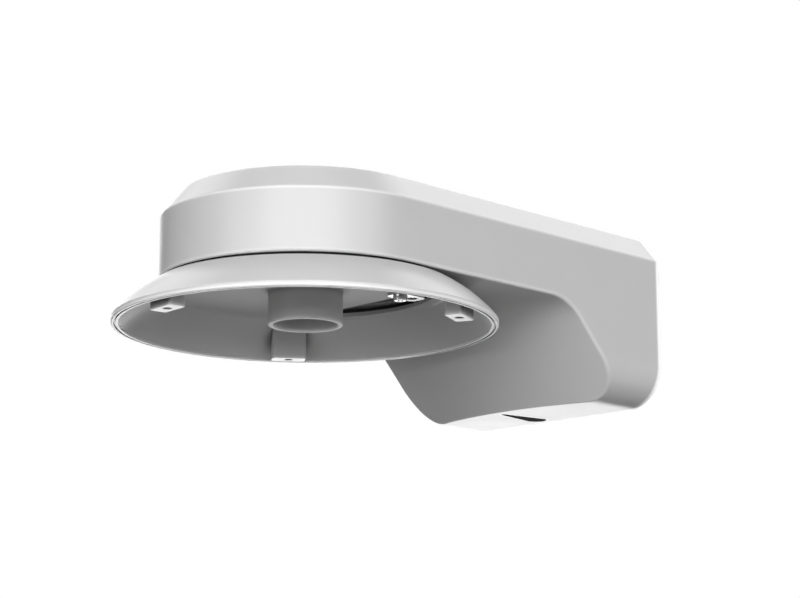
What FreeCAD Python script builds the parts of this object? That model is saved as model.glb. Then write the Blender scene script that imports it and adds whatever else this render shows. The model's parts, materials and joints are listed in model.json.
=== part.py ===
# Wall bracket for a dome camera: a hollow cast arm with a flared camera dish under its nose.
# +Z is up, the wall is the plane y = 0 and the arm reaches out along -Y, sizes in millimetres.
import FreeCAD
import Part
import math
import os

# arm, outside
arm_width = 122.0
arm_height = 36.9
bevel_rise = 10.5
bevel_inset = 8.5
back_height = 76.0
reach = 158.0
column_depth = 36.8
column_bow = 144.0
face_lean = 41.7
scoop_radius = 23.4
corner_radius = 18.0
bevel_radius = 1.2
edge_radius = 1.2

# arm, inside
arm_wall = 3.2
pillar_radius = 6.0
lug_width = 16.0
lug_thickness = 4.0
lug_drop = 9.0
lug_spacing = 66.0

# camera dish
dish_height = 16.4
neck_step = 1.8
flare_width = 17.2
lip_height = 2.0
lip_radius = 0.5
flare_bulge = 1.0
rim_width = 3.2
rim_edge = 0.4
throat_fillet = 3.0
dish_wall = 3.0
ceiling_gap = 0.8
groove_width = 0.8
groove_depth = 0.6
groove_inset = 1.2
spigot_clearance = 0.4

# cable tube and cable opening in the dish
tube_outer = 15.5
tube_wall = 2.2
tube_lift = 0.8
tube_edge = 0.5
tube_fillet = 1.5
opening_gap = 20.5
opening_rim = 2.4
opening_corner = 3.0

# camera screw bosses, turned a little from the arm's own line, their seats just below the rim
boss_count = 3
boss_turn = -6.2
boss_set_in = 12.5
boss_width = 15.0
boss_depth = 8.0
boss_proud = 1.0
boss_corner = 1.5
boss_edge = 0.4
boss_bore = 1.65
boss_bore_depth = 9.0
bore_chamfer = 0.4

# screws that hold the dish to the arm
dish_screw_set_in = 13.5
dish_screw_shank = 2.0
dish_screw_head = 4.2
dish_screw_head_height = 2.8
dish_screw_grip = 13.0
bore_spare = 1.0
screw_clearance = 0.3
thread_clearance = 0.1

# seals
seal_thickness = 1.5
seal_recess = 0.6
seal_width = 2.2
wall_seal_inset = 0.8
wall_seal_width = 1.6
wall_seal_depth = 1.2

# steel plate on the wall
plate_thickness = 2.5
plate_side_gap = 7.8
plate_end_gap = 2.8
plate_corner = 12.0
plate_cable_radius = 19.0
wall_hole_side = 9.0
wall_hole_end = 13.0
wall_hole_radius = 2.75
wall_slot_length = 9.0
hook_thickness = 2.5
hook_tip = 6.0
hook_clearance = 0.4
tab_width = 20.0
tab_depth = 16.0

# lock screw and its rubber plug in the bottom face
lock_offset = -5.5
lock_set_back = 8.5
lock_shank = 2.0
lock_head = 3.6
lock_head_height = 2.8
lock_seat = 2.5
lock_screw_spare = 1.5
plug_radius = 4.8
plug_tip_radius = 1.3
plug_tip_gap = 5.0
plug_depth = 1.6
plug_clearance = 0.1

# lanyard clip and its screw beside the cable opening
clip_x = 24.0
clip_set_back = 4.5
clip_width = 9.0
clip_length = 16.0
clip_thickness = 1.2
clip_hole = 2.2
clip_screw_shank = 1.5
clip_screw_head = 3.0
clip_screw_head_height = 2.0
clip_screw_length = 6.0
clip_boss_radius = 3.6
clip_boss_height = 4.0

# how far a piece is drawn into the one it is cast with, and a cut is drawn past a face
bite = 0.5
past = 1.0

# the angle that the column's bow is swept over, wide enough for the whole arm
bow_sweep = 84.0

# levels and places that follow from the sizes above
half_width = arm_width / 2.0
top = back_height / 2.0
bottom = -top
underside = top - arm_height
bevel_foot = top - bevel_rise
shoulder = underside - seal_thickness
rim = shoulder - dish_height
ceiling = shoulder - ceiling_gap
plate_top = ceiling + dish_wall
inner_radius = half_width - arm_wall
spigot_radius = inner_radius - spigot_clearance
neck_radius = half_width + neck_step
rim_radius = neck_radius + flare_width
rim_inner = rim_radius - rim_width
boss_circle = rim_radius - boss_set_in
boss_face = rim - boss_proud
dish_screw_circle = spigot_radius - dish_screw_set_in
opening_chord = tube_outer + opening_gap
opening_radius = spigot_radius - opening_rim
inner_top = top - arm_wall
inner_bottom = bottom + arm_wall
tube_inner = tube_outer - tube_wall
lean = math.radians(face_lean)
axis = FreeCAD.Vector(0, -reach, 0)
bow_axis = FreeCAD.Vector(0, column_bow - column_depth, 0)
up = FreeCAD.Vector(0, 0, 1)
boss_angles = [90.0 + boss_turn + 360.0 * (i + 0.5) / boss_count for i in range(boss_count)]
plate_half_width = inner_radius - plate_side_gap
plate_half_height = inner_top - plate_end_gap
wall_hole_x = plate_half_width - wall_hole_side
wall_hole_z = plate_half_height - wall_hole_end
hook_rest = inner_top - lug_drop
lug_back = -plate_thickness - hook_clearance
lug_front = lug_back - lug_thickness
lock_y = -lock_set_back
lock_head_top = bottom + plug_depth + lock_head_height + screw_clearance
lock_boss_radius = lock_set_back - plate_thickness - hook_clearance
tab_low = lock_head_top + lock_seat
tab_top = tab_low + plate_thickness
plug_length = column_depth - plug_tip_gap - lock_set_back - plug_tip_radius
clip_y = -reach + opening_chord - clip_set_back
clip_seat = ceiling - clip_thickness


def side_plane(x, z):
    """A point of an outline that is drawn looking along Y."""
    return FreeCAD.Vector(x, 0, z)


def profile_plane(y, z):
    """A point of an outline that is drawn looking along X."""
    return FreeCAD.Vector(0, y, z)


def floor_plane(x, y):
    """A point of an outline that is drawn looking down."""
    return FreeCAD.Vector(x, y, 0)


def rounded_face(corners, place):
    """A flat face from corners (u, v, radius), each rounded by an arc that is tangent to its sides."""
    points = [place(u, v) for u, v, _ in corners]
    starts = []
    ends = []
    middles = []
    for i, (_, _, radius) in enumerate(corners):
        here = points[i]
        back = (points[i - 1] - here).normalize()
        ahead = (points[(i + 1) % len(points)] - here).normalize()
        half = back.getAngle(ahead) / 2.0
        cut = radius / math.tan(half)
        centre = here + (back + ahead).normalize() * (radius / math.sin(half))
        starts.append(here + back * cut)
        ends.append(here + ahead * cut)
        middles.append(centre + (here - centre).normalize() * radius if radius else here)
    edges = []
    for i in range(len(points)):
        if corners[i][2]:
            edges.append(Part.Arc(starts[i], middles[i], ends[i]).toShape())
        following = starts[(i + 1) % len(points)]
        if ends[i].distanceToPoint(following) > 1e-6:
            edges.append(Part.LineSegment(ends[i], following).toShape())
    return Part.Face(Part.Wire(edges))


def cylinder(x, y, low, high, radius):
    return Part.makeCylinder(radius, high - low, FreeCAD.Vector(x, y, low), up)


def box(x_low, x_high, y_low, y_high, z_low, z_high):
    corner = FreeCAD.Vector(x_low, y_low, z_low)
    return Part.makeBox(x_high - x_low, y_high - y_low, z_high - z_low, corner)


def on_dish(radius, angle):
    """The x and y of a point on a circle about the dish's axis."""
    turn = math.radians(angle)
    return radius * math.cos(turn), -reach + radius * math.sin(turn)


def arm_section(inset):
    """The arm's cross-section with its bevels and lower corners, drawn in by inset."""
    w = half_width - inset
    slope = math.hypot(bevel_rise, bevel_inset)
    foot = bevel_foot - inset * (slope - bevel_rise) / bevel_inset
    shoulder_x = half_width - bevel_inset - inset * (slope - bevel_inset) / bevel_rise
    high = top - inset
    low = bottom + inset
    r = corner_radius - inset
    corners = [
        (-w, low, r),
        (w, low, r),
        (w, foot, bevel_radius),
        (shoulder_x, high, bevel_radius),
        (-shoulder_x, high, bevel_radius),
        (-w, foot, bevel_radius),
    ]
    return rounded_face(corners, side_plane)


def arm_profile(inset):
    """The arm's side view on its middle line, drawn in by inset and longer than the arm at both ends."""
    low = bottom + inset
    under = underside + inset
    foot_y = -column_depth + inset * (1.0 / math.cos(lean) - math.tan(lean))
    bend_y = foot_y - (under - low) * math.tan(lean)
    front = -reach - half_width
    back = column_depth / 2.0
    corners = [
        (front, under, 0),
        (bend_y, under, scoop_radius + inset),
        (foot_y, low, 0),
        (back, low, 0),
        (back, top - inset, 0),
        (front, top - inset, 0),
    ]
    return rounded_face(corners, profile_plane)


def arm_solid(inset, low, back):
    """The arm's whole shape, drawn in by inset: a round nose from low upward and the body behind it."""
    length = reach + back
    section = arm_section(inset)
    section.translate(FreeCAD.Vector(0, -reach, 0))
    along = section.extrude(FreeCAD.Vector(0, length, 0))
    profile = arm_profile(inset)
    profile.rotate(bow_axis, up, -bow_sweep / 2.0)
    body = along.common(profile.revolve(bow_axis, up, bow_sweep))
    above = box(0, arm_width, -1, 1, low, top)
    half = arm_section(inset).common(above)
    half.translate(axis)
    nose = half.revolve(axis, up, -180)
    return body.fuse(nose).removeSplitter()


def arm_lower_edges(shape):
    """The outer edge that runs round the nose's foot, along the arm, down the scoop and under the column."""
    chosen = []
    for edge in shape.Edges:
        mid = edge.valueAt((edge.FirstParameter + edge.LastParameter) / 2.0)
        low_side = mid.z < underside + 0.01 and mid.y < -1
        x, y = mid.x, mid.y + reach
        on_nose = abs(math.hypot(x, y) - half_width) < 0.1 and y < 0
        on_side = abs(abs(mid.x) - half_width) < 0.01
        straight_down = edge.BoundBox.YLength > 0.5 or on_nose
        if low_side and straight_down and (on_nose or on_side):
            chosen.append(edge)
    return chosen


def plug_shape(clearance):
    """The teardrop of the rubber plug, drawn in by clearance, from the bottom face upward."""
    wide = plug_radius - clearance
    tip = plug_tip_radius - clearance
    spread = math.asin((wide - tip) / plug_length)
    tip_y = lock_y - plug_length
    wide_x = wide * math.cos(spread)
    wide_y = lock_y - wide * math.sin(spread)
    end_x = tip * math.cos(spread)
    end_y = tip_y - tip * math.sin(spread)
    wide_left = floor_plane(lock_offset - wide_x, wide_y)
    wide_back = floor_plane(lock_offset, lock_y + wide)
    wide_right = floor_plane(lock_offset + wide_x, wide_y)
    tip_right = floor_plane(lock_offset + end_x, end_y)
    tip_front = floor_plane(lock_offset, tip_y - tip)
    tip_left = floor_plane(lock_offset - end_x, end_y)
    edges = [
        Part.Arc(wide_left, wide_back, wide_right).toShape(),
        Part.LineSegment(wide_right, tip_right).toShape(),
        Part.Arc(tip_right, tip_front, tip_left).toShape(),
        Part.LineSegment(tip_left, wide_left).toShape(),
    ]
    face = Part.Face(Part.Wire(edges))
    face.translate(FreeCAD.Vector(0, 0, bottom))
    return face.extrude(FreeCAD.Vector(0, 0, plug_depth))


def make_wall_seal():
    outer = arm_section(wall_seal_inset)
    ring = outer.cut(arm_section(wall_seal_inset + wall_seal_width))
    return ring.extrude(FreeCAD.Vector(0, -wall_seal_depth, 0))


def make_arm():
    shell = arm_solid(0, underside, 0)
    shell = shell.makeFillet(edge_radius, arm_lower_edges(shell))
    shell = shell.cut(arm_solid(arm_wall, underside - past, past))
    shell = shell.cut(cylinder(0, -reach, underside - past, underside + arm_wall + past, inner_radius))
    for angle in boss_angles:
        x, y = on_dish(dish_screw_circle, angle)
        shell = shell.fuse(cylinder(x, y, plate_top, inner_top + bite, pillar_radius))
        bore_top = plate_top + dish_screw_grip + bore_spare
        shell = shell.cut(cylinder(x, y, plate_top - past, bore_top, dish_screw_shank + thread_clearance))
    for middle in (-lug_spacing / 2.0, lug_spacing / 2.0):
        x_low = middle - lug_width / 2.0
        x_high = middle + lug_width / 2.0
        shell = shell.fuse(box(x_low, x_high, lug_front, lug_back, hook_rest, inner_top + bite))
    shell = shell.fuse(cylinder(lock_offset, lock_y, inner_bottom - bite, tab_low, lock_boss_radius))
    shell = shell.cut(plug_shape(0))
    shell = shell.cut(cylinder(lock_offset, lock_y, bottom, lock_head_top, lock_head + screw_clearance))
    shell = shell.cut(cylinder(lock_offset, lock_y, bottom, tab_low + past, lock_shank + screw_clearance))
    return shell.cut(make_wall_seal()).removeSplitter()


def flare_arc(r_low, z_low, r_high, z_high):
    """The dish's flared wall in section, bulging out by flare_bulge between its ends."""
    low = FreeCAD.Vector(r_low, 0, z_low)
    high = FreeCAD.Vector(r_high, 0, z_high)
    chord = high - low
    normal = FreeCAD.Vector(chord.z, 0, -chord.x).normalize()
    middle = (low + high) * 0.5 + normal * flare_bulge
    return Part.Arc(low, middle, high).toShape()


def line(r_a, z_a, r_b, z_b):
    return Part.LineSegment(FreeCAD.Vector(r_a, 0, z_a), FreeCAD.Vector(r_b, 0, z_b)).toShape()


def turned(edges):
    """A solid of revolution about the dish's axis from edges drawn as radius and height."""
    face = Part.Face(Part.Wire(edges))
    face.translate(axis)
    return face.revolve(axis, up, 360)


def rings(shape, radius, level):
    """The circular edges about the dish's axis that have this radius and level."""
    found = []
    for edge in shape.Edges:
        point = edge.valueAt(edge.FirstParameter)
        away = math.hypot(point.x, point.y + reach)
        round_axis = edge.Curve.TypeId == "Part::GeomCircle" and edge.BoundBox.ZLength < 0.01
        if round_axis and abs(away - radius) < 0.01 and abs(point.z - level) < 0.01:
            found.append(edge)
    return found


def dish_outside():
    """Edges of the dish's outer skin from its spigot's top down to the rim's flat."""
    lip = rim + lip_height
    knee = lip_radius * (1.0 - math.sqrt(0.5))
    lip_arc = Part.Arc(
        FreeCAD.Vector(rim_radius, 0, rim + lip_radius),
        FreeCAD.Vector(rim_radius - knee, 0, rim + knee),
        FreeCAD.Vector(rim_radius - lip_radius, 0, rim),
    )
    return [
        line(spigot_radius, plate_top, spigot_radius, shoulder),
        line(spigot_radius, shoulder, neck_radius, shoulder),
        flare_arc(rim_radius, lip, neck_radius, shoulder),
        line(rim_radius, lip, rim_radius, rim + lip_radius),
        lip_arc.toShape(),
    ]


def cable_opening():
    """The segment of a circle behind the tube, through the dish's ceiling."""
    low = ceiling - past
    high = plate_top + past
    disc = cylinder(0, -reach, low, high, opening_radius)
    behind = box(-rim_radius, rim_radius, -reach + opening_chord, 0, low, high)
    opening = disc.common(behind)
    tips = [e for e in opening.Edges if e.BoundBox.ZLength > 1 and e.BoundBox.XLength < 0.1]
    return opening.makeFillet(opening_corner, tips)


def make_dish():
    throat = neck_radius - dish_wall
    groove_outer = rim_radius - groove_inset
    groove_inner = groove_outer - groove_width
    groove_top = rim + groove_depth
    lip_in = rim + lip_height / 2.0
    section = dish_outside() + [
        line(rim_radius - lip_radius, rim, groove_outer, rim),
        line(groove_outer, rim, groove_outer, groove_top),
        line(groove_outer, groove_top, groove_inner, groove_top),
        line(groove_inner, groove_top, groove_inner, rim),
        line(groove_inner, rim, rim_inner, rim),
        line(rim_inner, rim, rim_inner, lip_in),
        flare_arc(rim_inner, lip_in, throat, ceiling),
        line(throat, ceiling, 0, ceiling),
        line(0, ceiling, 0, plate_top),
        line(0, plate_top, spigot_radius, plate_top),
    ]
    dish = turned(section)
    dish = dish.makeFillet(throat_fillet, rings(dish, throat, ceiling))
    dish = dish.makeFillet(rim_edge, rings(dish, rim_inner, rim))
    edge = rim_radius - lip_radius
    floor = boss_face - past
    skin = [
        line(edge, rim, edge, floor),
        line(edge, floor, 0, floor),
        line(0, floor, 0, plate_top),
        line(0, plate_top, spigot_radius, plate_top),
    ]
    filled = turned(dish_outside() + skin)
    for angle in boss_angles:
        half = boss_width / 2.0
        deep = boss_depth / 2.0
        block = box(boss_circle - deep, boss_circle + deep, -half, half, boss_face, ceiling + bite)
        block = block.makeFillet(boss_corner, [e for e in block.Edges if e.BoundBox.ZLength > boss_corner])
        lower = [e for e in block.Edges if e.BoundBox.ZMax < boss_face + boss_edge]
        block = block.makeFillet(boss_edge, lower)
        block.rotate(FreeCAD.Vector(0, 0, 0), up, angle)
        block.translate(axis)
        dish = dish.fuse(block.common(filled))
    tube_end = rim + tube_lift
    dish = dish.fuse(cylinder(0, -reach, tube_end, ceiling + bite, tube_outer))
    dish = dish.cut(cylinder(0, -reach, rim, plate_top + past, tube_inner))
    dish = dish.makeFillet(tube_fillet, rings(dish, tube_outer, ceiling))
    ends = rings(dish, tube_outer, tube_end) + rings(dish, tube_inner, tube_end)
    dish = dish.makeFillet(tube_edge, ends)
    dish = dish.cut(cable_opening())
    for angle in boss_angles:
        x, y = on_dish(boss_circle, angle)
        dish = dish.cut(cylinder(x, y, boss_face - past, boss_face + boss_bore_depth, boss_bore))
        mouth = FreeCAD.Vector(x, y, boss_face)
        dish = dish.cut(Part.makeCone(boss_bore + bore_chamfer, boss_bore, bore_chamfer, mouth, up))
        x, y = on_dish(dish_screw_circle, angle)
        bore = dish_screw_shank + screw_clearance
        dish = dish.cut(cylinder(x, y, ceiling - past, plate_top + past, bore))
    boss_top = plate_top + clip_boss_height
    dish = dish.fuse(cylinder(clip_x, clip_y, plate_top - bite, boss_top, clip_boss_radius))
    bore = clip_screw_shank + thread_clearance
    bore_top = clip_seat + clip_screw_length + bore_spare
    return dish.cut(cylinder(clip_x, clip_y, ceiling - past, bore_top, bore)).removeSplitter()


def make_dish_seal():
    outer = half_width - seal_recess
    ring = cylinder(0, -reach, shoulder, underside, outer)
    return ring.cut(cylinder(0, -reach, shoulder - past, underside + past, outer - seal_width))


def pan_screw(x, y, seat, head_size, shank_radius, length):
    """A pan-head screw that points up, with the top of its head at seat and a cross slot below."""
    head_radius, head_height = head_size
    face = seat - head_height
    head = cylinder(x, y, face, seat, head_radius)
    lower = [e for e in head.Edges if e.BoundBox.ZMax < face + head_height / 2.0]
    head = head.makeFillet(head_height * 0.4, lower)
    screw = head.fuse(cylinder(x, y, seat - head_height / 4.0, seat + length, shank_radius))
    arm = head_radius * 0.6
    half = head_radius * 0.13
    deep = face + head_height * 0.45
    screw = screw.cut(box(x - arm, x + arm, y - half, y + half, face - past, deep))
    return screw.cut(box(x - half, x + half, y - arm, y + arm, face - past, deep)).removeSplitter()


def make_dish_screws():
    head = (dish_screw_head, dish_screw_head_height)
    length = dish_wall + dish_screw_grip
    places = [on_dish(dish_screw_circle, angle) for angle in boss_angles]
    return Part.makeCompound([pan_screw(x, y, ceiling, head, dish_screw_shank, length) for x, y in places])


def plate_slot(x, z):
    """A screw slot through the wall plate, longer along X, centred on x and z."""
    r = wall_hole_radius
    half = wall_slot_length / 2.0 - r
    start = FreeCAD.Vector(x, past, z)
    depth = plate_thickness + 2 * past
    along = FreeCAD.Vector(0, -1, 0)
    left = Part.makeCylinder(r, depth, start - FreeCAD.Vector(half, 0, 0), along)
    right = Part.makeCylinder(r, depth, start + FreeCAD.Vector(half, 0, 0), along)
    middle = box(x - half, x + half, past - depth, past, z - r, z + r)
    return left.fuse([right, middle])


def make_wall_plate():
    w = plate_half_width
    h = plate_half_height
    corners = [(-w, -h), (w, -h), (w, h), (-w, h)]
    face = rounded_face([(x, z, plate_corner) for x, z in corners], side_plane)
    plate = face.extrude(FreeCAD.Vector(0, -plate_thickness, 0))
    start = FreeCAD.Vector(0, past, 0)
    depth = plate_thickness + 2 * past
    plate = plate.cut(Part.makeCylinder(plate_cable_radius, depth, start, FreeCAD.Vector(0, -1, 0)))
    for x in (-wall_hole_x, wall_hole_x):
        for z in (-wall_hole_z, wall_hole_z):
            plate = plate.cut(plate_slot(x, z))
    tip_back = lug_front - hook_clearance
    tip_front = tip_back - hook_thickness
    shelf_low = hook_rest - hook_thickness
    for middle in (-lug_spacing / 2.0, lug_spacing / 2.0):
        x_low = middle - lug_width / 2.0
        x_high = middle + lug_width / 2.0
        shelf = box(x_low, x_high, tip_front, -plate_thickness / 2.0, shelf_low, hook_rest)
        tip = box(x_low, x_high, tip_front, tip_back, shelf_low, hook_rest + hook_tip)
        plate = plate.fuse([shelf, tip])
    x_low = lock_offset - tab_width / 2.0
    x_high = lock_offset + tab_width / 2.0
    plate = plate.fuse(box(x_low, x_high, -tab_depth, -plate_thickness / 2.0, tab_low, tab_top))
    bore = lock_shank + thread_clearance
    return plate.cut(cylinder(lock_offset, lock_y, tab_low - past, tab_top + past, bore)).removeSplitter()


def make_lock_screw():
    length = tab_top - lock_head_top + lock_screw_spare
    return pan_screw(lock_offset, lock_y, lock_head_top, (lock_head, lock_head_height), lock_shank, length)


def make_lock_plug():
    return plug_shape(plug_clearance)


def make_lanyard_clip():
    w = clip_width / 2.0
    low_y = clip_y - w
    high_y = low_y + clip_length
    corners = [(clip_x - w, low_y), (clip_x + w, low_y), (clip_x + w, high_y), (clip_x - w, high_y)]
    face = rounded_face([(x, y, w * 0.6) for x, y in corners], floor_plane)
    face.translate(FreeCAD.Vector(0, 0, clip_seat))
    clip = face.extrude(FreeCAD.Vector(0, 0, clip_thickness))
    bore = clip_screw_shank + screw_clearance
    clip = clip.cut(cylinder(clip_x, clip_y, clip_seat - past, ceiling + past, bore))
    return clip.cut(cylinder(clip_x, high_y - w, clip_seat - past, ceiling + past, clip_hole))


def make_lanyard_screw():
    head = (clip_screw_head, clip_screw_head_height)
    return pan_screw(clip_x, clip_y, clip_seat, head, clip_screw_shank, clip_screw_length)


makers = {
    "arm_housing": make_arm,
    "camera_dish": make_dish,
    "dish_seal": make_dish_seal,
    "dish_screws": make_dish_screws,
    "wall_plate": make_wall_plate,
    "wall_seal": make_wall_seal,
    "lock_screw": make_lock_screw,
    "lock_plug": make_lock_plug,
    "lanyard_clip": make_lanyard_clip,
    "lanyard_screw": make_lanyard_screw,
}

os.makedirs("parts", exist_ok=True)
for name, make in makers.items():
    shape = make()
    shape.exportStep("parts/" + name + ".step")
    size = shape.BoundBox
    print(name, len(shape.Solids), shape.isValid(), round(shape.Volume), round(size.XLength, 2),
          round(size.YLength, 2), round(size.ZLength, 2))
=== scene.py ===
import bpy
import json
import math
from mathutils import Euler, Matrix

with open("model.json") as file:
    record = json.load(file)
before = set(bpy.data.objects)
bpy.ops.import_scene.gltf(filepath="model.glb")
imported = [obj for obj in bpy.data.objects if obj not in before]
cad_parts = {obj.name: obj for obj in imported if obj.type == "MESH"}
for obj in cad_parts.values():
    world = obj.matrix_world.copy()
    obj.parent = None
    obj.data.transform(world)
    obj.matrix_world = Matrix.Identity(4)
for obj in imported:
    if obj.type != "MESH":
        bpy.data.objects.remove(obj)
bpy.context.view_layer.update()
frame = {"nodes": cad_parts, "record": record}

cad = frame["nodes"]
scene = bpy.context.scene


# A node's output that can be added, subtracted and multiplied like a number
class Socket:
    def __init__(self, finish, link):
        self.finish = finish
        self.link = link

    def maths(self, operation, first, second):
        return self.finish.add("ShaderNodeMath", {"operation": operation}, [first, second])

    def __add__(self, other):
        return self.maths("ADD", self, other)

    def __radd__(self, other):
        return self.maths("ADD", other, self)

    def __sub__(self, other):
        return self.maths("SUBTRACT", self, other)

    def __rsub__(self, other):
        return self.maths("SUBTRACT", other, self)

    def __mul__(self, other):
        return self.maths("MULTIPLY", self, other)

    def __rmul__(self, other):
        return self.maths("MULTIPLY", other, self)

    def clamped(self):
        return self.finish.add("ShaderNodeClamp", {}, [self, 0.0, 1.0])


# A material on Object coordinates, whose nodes are added one call at a time
class Finish:
    def __init__(self, name):
        self.material = bpy.data.materials.new(name)
        self.material.use_nodes = True
        self.nodes = self.material.node_tree.nodes
        self.links = self.material.node_tree.links
        self.shader = self.nodes["Principled BSDF"]
        self.place = self.add("ShaderNodeTexCoord", {}, {}, "Object")

    # a socket is found by its place or name, among those that the settings leave in use
    def socket(self, sockets, key):
        inUse = [one for one in sockets if one.enabled]
        if isinstance(key, int):
            return inUse[key]
        return [one for one in inUse if one.name == key][0]

    def feed(self, node, key, value):
        target = self.socket(node.inputs, key)
        if isinstance(value, Socket):
            self.links.new(value.link, target)
        else:
            target.default_value = value

    def add(self, kind, settings, inputs, output=0):
        node = self.nodes.new(kind)
        for name, value in settings.items():
            setattr(node, name, value)
        pairs = inputs.items() if isinstance(inputs, dict) else enumerate(inputs)
        for key, value in pairs:
            self.feed(node, key, value)
        return Socket(self, self.socket(node.outputs, output))

    def noise(self, perMetre, detail=3.0, stretch=(1.0, 1.0, 1.0)):
        place = self.add("ShaderNodeMapping", {}, {"Vector": self.place, "Scale": stretch})
        values = {"Vector": place, "Scale": perMetre, "Detail": detail}
        return self.add("ShaderNodeTexNoise", {}, values, "Fac")

    def mixed(self, share, first, second):
        values = {"Factor": share, "A": first, "B": second}
        return self.add("ShaderNodeMix", {"data_type": "RGBA"}, values, "Result")

    def set(self, **values):
        for name, value in values.items():
            self.feed(self.shader, name.replace("_", " "), value)

    def bump(self, height, depth, strength):
        values = {"Height": height, "Distance": depth, "Strength": strength}
        self.set(Normal=self.add("ShaderNodeBump", {}, values, "Normal"))


def grey(level, warmth=0.0):
    return (level + warmth, level, level - warmth, 1.0)


noiseMean = 0.5

# Satin powder coat on the two castings: a fine orange peel, and grain under it.
# Lengths are in metres. Painted highlights lighten outer edges and a line at the bevel's foot.
paint = {
    "light": 0.435,
    "dark": 0.405,
    "roughness": 0.30,
    "roughnessSpread": 0.06,
    "peelPerMetre": 420.0,
    "peelDepth": 0.00003,
    "peelShare": 0.7,
    "peelStrength": 0.25,
    "grainPerMetre": 2300.0,
    "mottlePerMetre": 55.0,
    "rays": 8,
    "edgeReach": 0.0018,
    "edgeFrom": 0.08,
    "edgeGain": 3.2,
    "edgeLight": 0.85,
    "topFrom": 0.0376,
    "topRougher": 0.3,
    "bevelFoot": 0.0272,
    "bevelLine": 0.0008,
    "bevelShare": 0.35,
}
# What differs on the dish: ceiling and tube are rougher, boss seats get a painted highlight,
# corners get painted shade, and the upper side, hidden in the arm, is painted near-black as shade
inside = {
    "axis": -0.158,
    "ceilingRadius": 0.0574,
    "tubeRadius": 0.0165,
    "throatFrom": -0.013,
    "edge": 0.0002,
    "edgeShare": 0.5,
    "ceilingFrom": -0.0015,
    "blackFrom": 0.0003,
    "black": 0.006,
    "rougher": 0.22,
    "cornerReach": 0.006,
    "cornerFrom": 0.12,
    "cornerGain": 2.0,
    "cornerDark": 0.09,
    "seatReach": 0.0735,
    "seatFrom": -0.0177,
    "seatLight": 0.66,
}


# 1 within a circle about the dish's axis, and 0 outside it
def nearAxis(finish, reach):
    flat = finish.add("ShaderNodeMapping", {}, {
        "Vector": finish.place,
        "Location": (0.0, -inside["axis"], 0.0),
        "Scale": (1.0, 1.0, 0.0),
    })
    radius = finish.add("ShaderNodeVectorMath", {"operation": "LENGTH"}, [flat], "Value")
    return ((reach - radius) * (1.0 / inside["edge"])).clamped()


# 1 above a level, and 0 below it
def above(finish, level):
    height = finish.add("ShaderNodeSeparateXYZ", {}, [finish.place], "Z")
    return ((height - level) * (1.0 / inside["edge"])).clamped()


# the share of short rays from a place that meet nothing, sent outwards unless the settings differ
def free(finish, reach, settings):
    settings = dict(settings, samples=paint["rays"])
    return finish.add("ShaderNodeAmbientOcclusion", settings, {"Distance": reach}, "AO")


def makePaint(name, isDish):
    finish = Finish(name)
    mottle = finish.noise(paint["mottlePerMetre"], detail=4.0)
    peel = finish.noise(paint["peelPerMetre"], detail=2.0)
    grain = finish.noise(paint["grainPerMetre"], detail=1.0)
    share = (mottle * 0.5 + grain * 0.5).clamped()
    colour = finish.mixed(share, grey(paint["dark"]), grey(paint["light"]))
    uneven = (mottle - noiseMean) + (grain - noiseMean)
    roughness = paint["roughness"] + uneven * paint["roughnessSpread"]
    # rays sent inwards get out of the casting only near an outer edge, which gets a painted
    # highlight
    solid = free(finish, paint["edgeReach"], {"inside": True, "only_local": True})
    edge = ((1.0 - paint["edgeFrom"] - solid) * paint["edgeGain"]).clamped()
    if isDish:
        # the wall at the throat is too thin for the inward rays
        below = 1.0 - above(finish, inside["throatFrom"])
        edge = edge * below * inside["edgeShare"]
    else:
        roughness = roughness + above(finish, paint["topFrom"]) * paint["topRougher"]
        # a painted highlight in a line along the bevel's foot
        height = finish.add("ShaderNodeSeparateXYZ", {}, [finish.place], "Z")
        offset = height - paint["bevelFoot"]
        apart = finish.add("ShaderNodeMath", {"operation": "ABSOLUTE"}, [offset])
        bevelHighlight = ((paint["bevelLine"] - apart) * (1.0 / paint["bevelLine"])).clamped()
        edge = (edge + bevelHighlight * paint["bevelShare"]).clamped()
    # painted highlight: the colour turns pale grey along the edges
    colour = finish.mixed(edge, colour, grey(paint["edgeLight"]))
    if isDish:
        # painted shade darkens the corners round the bosses, the tube and the seam, and the rim's
        # groove
        gap = free(finish, inside["cornerReach"], {})
        cornerShade = ((1.0 - inside["cornerFrom"] - gap) * inside["cornerGain"]).clamped()
        colour = finish.mixed(cornerShade, colour, grey(inside["cornerDark"]))
        # painted highlight on the down-facing boss seats, below the seat level
        seatHighlight = nearAxis(finish, inside["seatReach"]) * (1.0 - above(finish, inside["seatFrom"]))
        colour = finish.mixed(seatHighlight, colour, grey(inside["seatLight"]))
        near = nearAxis(finish, inside["ceilingRadius"])
        tube = nearAxis(finish, inside["tubeRadius"])
        # painted shade: the upper side near the axis and the opening's wall are coloured near
        # black
        hiddenShade = near * above(finish, inside["blackFrom"])
        colour = finish.mixed(hiddenShade, colour, grey(inside["black"]))
        dull = (near * above(finish, inside["ceilingFrom"]) + tube).clamped()
        roughness = roughness + dull * inside["rougher"]
    finish.set(Base_Color=colour, Roughness=roughness)
    relief = peel * paint["peelShare"] + grain * (1.0 - paint["peelShare"])
    finish.bump(relief, paint["peelDepth"], paint["peelStrength"])
    return finish.material


# Matt black rubber of the two seals and the plug, with fine pores
rubber = {
    "dark": 0.004,
    "light": 0.012,
    "dustPerMetre": 70.0,
    "roughness": 0.85,
    "roughnessSpread": 0.2,
    "sheen": 0.08,
    "poresPerMetre": 1800.0,
    "poreDepth": 0.00003,
    "poreStrength": 0.5,
}


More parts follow.
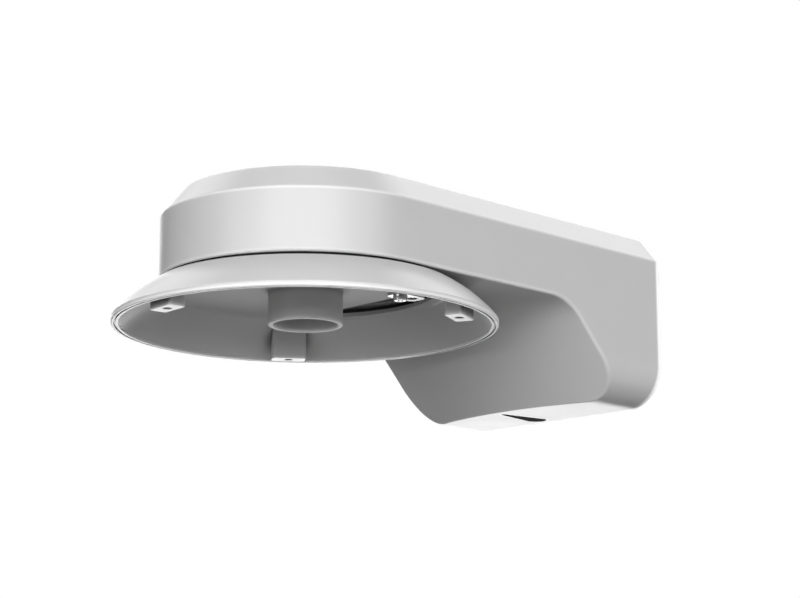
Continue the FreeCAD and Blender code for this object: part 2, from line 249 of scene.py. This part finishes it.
def makeRubber():
    finish = Finish("blackRubber")
    pores = finish.noise(rubber["poresPerMetre"])
    dust = finish.noise(rubber["dustPerMetre"], detail=4.0)
    finish.set(Base_Color=finish.mixed(dust, grey(rubber["dark"]), grey(rubber["light"])))
    finish.set(Roughness=rubber["roughness"] + (dust - noiseMean) * rubber["roughnessSpread"])
    finish.set(Specular_IOR_Level=rubber["sheen"])
    finish.bump(pores, rubber["poreDepth"], rubber["poreStrength"])
    return finish.material


# Zinc-plated plate with rolling lines, and bright turned screws and clip.
# A stretch above 1 packs the lines closer along that axis.
steel = {
    "linesPerMetre": 60.0,
    "cloudsPerMetre": 130.0,
    "warmth": 0.004,
    "roughnessSpread": 0.18,
    "lineDepth": 0.00002,
    "lineStrength": 0.3,
    "plate": {"light": 0.58, "dark": 0.34, "roughness": 0.42, "stretch": (6.0, 1.0, 90.0)},
    "screw": {"light": 0.80, "dark": 0.66, "roughness": 0.24, "stretch": (40.0, 40.0, 6.0)},
}


def makeSteel(name, look):
    finish = Finish(name)
    lines = finish.noise(steel["linesPerMetre"], 5.0, look["stretch"])
    cloud = finish.noise(steel["cloudsPerMetre"])
    share = (lines * 0.5 + cloud * 0.5).clamped()
    light = grey(look["light"], steel["warmth"])
    finish.set(Base_Color=finish.mixed(share, grey(look["dark"]), light), Metallic=1.0)
    finish.set(Roughness=look["roughness"] + (lines - noiseMean) * steel["roughnessSpread"])
    finish.bump(lines, steel["lineDepth"], steel["lineStrength"])
    return finish.material


finishes = {
    "painted_casting": makePaint("paintedArm", False),
    "dish_casting": makePaint("paintedDish", True),
    "black_rubber": makeRubber(),
    "plate_steel": makeSteel("zincPlate", steel["plate"]),
    "screw_steel": makeSteel("brightScrew", steel["screw"]),
}
slots = {part["node"]: part["material_slot"] for part in frame["record"]["subparts"]}
for name, piece in cad.items():
    piece.data.materials.clear()
    piece.data.materials.append(finishes[slots[name]])
    piece.data.polygons.foreach_set("material_index", [0] * len(piece.data.polygons))
print("finishes on", len(cad), "cad nodes")


# White studio with a pale floor, a card under it, and rows of soft lights round the bracket.
# Each row has a height in degrees and a width, and its powers are by azimuth.
studio = {
    "aim": (0.0, -0.11, 0.0),
    "floorHeight": -1.01,
    "floorWidth": 60.0,
    "floorDark": 0.74,
    "floorLight": 0.80,
    "fadeFrom": 1.5,
    "fadeOver": 5.0,
    "cardHeight": -1.02,
    "cardWidth": 8.0,
    "cardDark": 0.80,
    "cardLight": 0.84,
    "cardRoughness": 0.7,
    "cloudsPerMetre": 3.0,
    "backdrop": 1.0,
    "away": 1.6,
    "spread": 80.0,
    "rows": {
        "level": {"height": 10.0, "width": 0.9, "power": {
            0: 1.4, 30: 3.0, 60: 3.0, 90: 1.3, 150: 0.4, 240: 1.2, 330: 0.2}},
        "high": {"height": 42.0, "width": 1.1, "power": {180: 1.95, 225: 1.5, 270: 1.7}},
        "low": {"height": -14.0, "width": 1.1, "power": {0: 1.4, 90: 0.65, 135: 0.75, 165: 0.75}},
        "behind": {"height": -13.0, "width": 0.8, "power": {225: 1.1, 255: 0.1}},
        "top": {"height": 89.0, "width": 1.4, "power": {45: 1.65}},
    },
}


# a level square sheet, centred under the wall plate and kept out of the part
def makeSheet(name, height, width, material):
    half = width / 2.0
    corners = [(-half, -half), (half, -half), (half, half), (-half, half)]
    mesh = bpy.data.meshes.new(name)
    mesh.from_pydata([(x, y, height) for x, y in corners], [], [(0, 1, 2, 3)])
    mesh.materials.append(material)
    sheet = bpy.data.objects.new(name, mesh)
    scene.collection.objects.link(sheet)
    return sheet


# the pale floor that the camera sees fades into the backdrop, and adds no light
def makeFloor():
    finish = Finish("paleFloor")
    place = [finish.place]
    radius = finish.add("ShaderNodeVectorMath", {"operation": "LENGTH"}, place, "Value")
    fade = ((radius - studio["fadeFrom"]) * (1.0 / studio["fadeOver"])).clamped()
    cloud = finish.noise(studio["cloudsPerMetre"], detail=2.0)
    near = finish.mixed(cloud, grey(studio["floorDark"]), grey(studio["floorLight"]))
    finish.set(Base_Color=grey(0.0), Roughness=1.0, Specular_IOR_Level=0.0)
    finish.set(Emission_Color=finish.mixed(fade, near, grey(1.0)), Emission_Strength=1.0)
    floor = makeSheet("floor", studio["floorHeight"], studio["floorWidth"], finish.material)
    floor.visible_diffuse = False
    floor.visible_glossy = False
    floor.visible_transmission = False
    floor.visible_shadow = False


# a matt card under it, which the camera does not see, throws light up into the dish
def makeCard():
    finish = Finish("bounceCard")
    cloud = finish.noise(studio["cloudsPerMetre"], detail=2.0)
    colour = finish.mixed(cloud, grey(studio["cardDark"]), grey(studio["cardLight"]))
    finish.set(Base_Color=colour, Roughness=studio["cardRoughness"])
    card = makeSheet("card", studio["cardHeight"], studio["cardWidth"], finish.material)
    card.visible_camera = False


# azimuth and height are where a light stands, in degrees, as seen from the aim
def makeLight(name, azimuth, row, power):
    turn = math.radians(azimuth)
    rise = math.radians(row["height"])
    flat = math.cos(rise)
    out = (math.sin(turn) * flat, -math.cos(turn) * flat, math.sin(rise))
    data = bpy.data.lights.new(name, "AREA")
    data.shape = "SQUARE"
    data.size = row["width"]
    data.spread = math.radians(studio["spread"])
    data.energy = power
    light = bpy.data.objects.new(name, data)
    light.location = [a + o * studio["away"] for a, o in zip(studio["aim"], out)]
    light.rotation_euler = Euler((math.radians(90.0) - rise, 0.0, turn))
    light.visible_camera = False
    scene.collection.objects.link(light)


# the camera sees a plain white studio behind the bracket, which adds no light of its own
def makeRoom():
    world = bpy.data.worlds.new("whiteStudio")
    world.use_nodes = True
    nodes = world.node_tree.nodes
    links = world.node_tree.links
    seen = nodes["Background"]
    seen.inputs["Color"].default_value = grey(1.0)
    seen.inputs["Strength"].default_value = studio["backdrop"]
    fill = nodes.new("ShaderNodeBackground")
    fill.inputs["Color"].default_value = grey(1.0)
    fill.inputs["Strength"].default_value = 0.0
    path = nodes.new("ShaderNodeLightPath")
    mix = nodes.new("ShaderNodeMixShader")
    links.new(path.outputs["Is Camera Ray"], mix.inputs[0])
    links.new(fill.outputs[0], mix.inputs[1])
    links.new(seen.outputs[0], mix.inputs[2])
    links.new(mix.outputs[0], nodes["World Output"].inputs["Surface"])
    scene.world = world


makeFloor()
makeCard()
makeRoom()
for name, row in studio["rows"].items():
    for azimuth, power in row["power"].items():
        makeLight(name + str(azimuth), azimuth, row, power)
print("studio has", sum(len(row["power"]) for row in studio["rows"].values()), "lights")

# The photograph's viewing angle: the camera stands below, at the front right, and looks up
view = {
    "place": (0.65339, -0.75605, -0.19741),
    "azimuth": 45.0,
    "lookUp": 12.283,
    "lens": 98.28,
    "sensor": 36.0,
    "nearest": 0.05,
}
cameraData = bpy.data.cameras.new("camera")
cameraData.lens = view["lens"]
cameraData.sensor_width = view["sensor"]
cameraData.clip_start = view["nearest"]
camera = bpy.data.objects.new("camera", cameraData)
camera.location = view["place"]
tilt = math.radians(90.0 + view["lookUp"])
camera.rotation_euler = Euler((tilt, 0.0, math.radians(view["azimuth"])))
scene.collection.objects.link(camera)
scene.camera = camera
scene.view_settings.view_transform = "Standard"
print("camera stands at", view["place"])
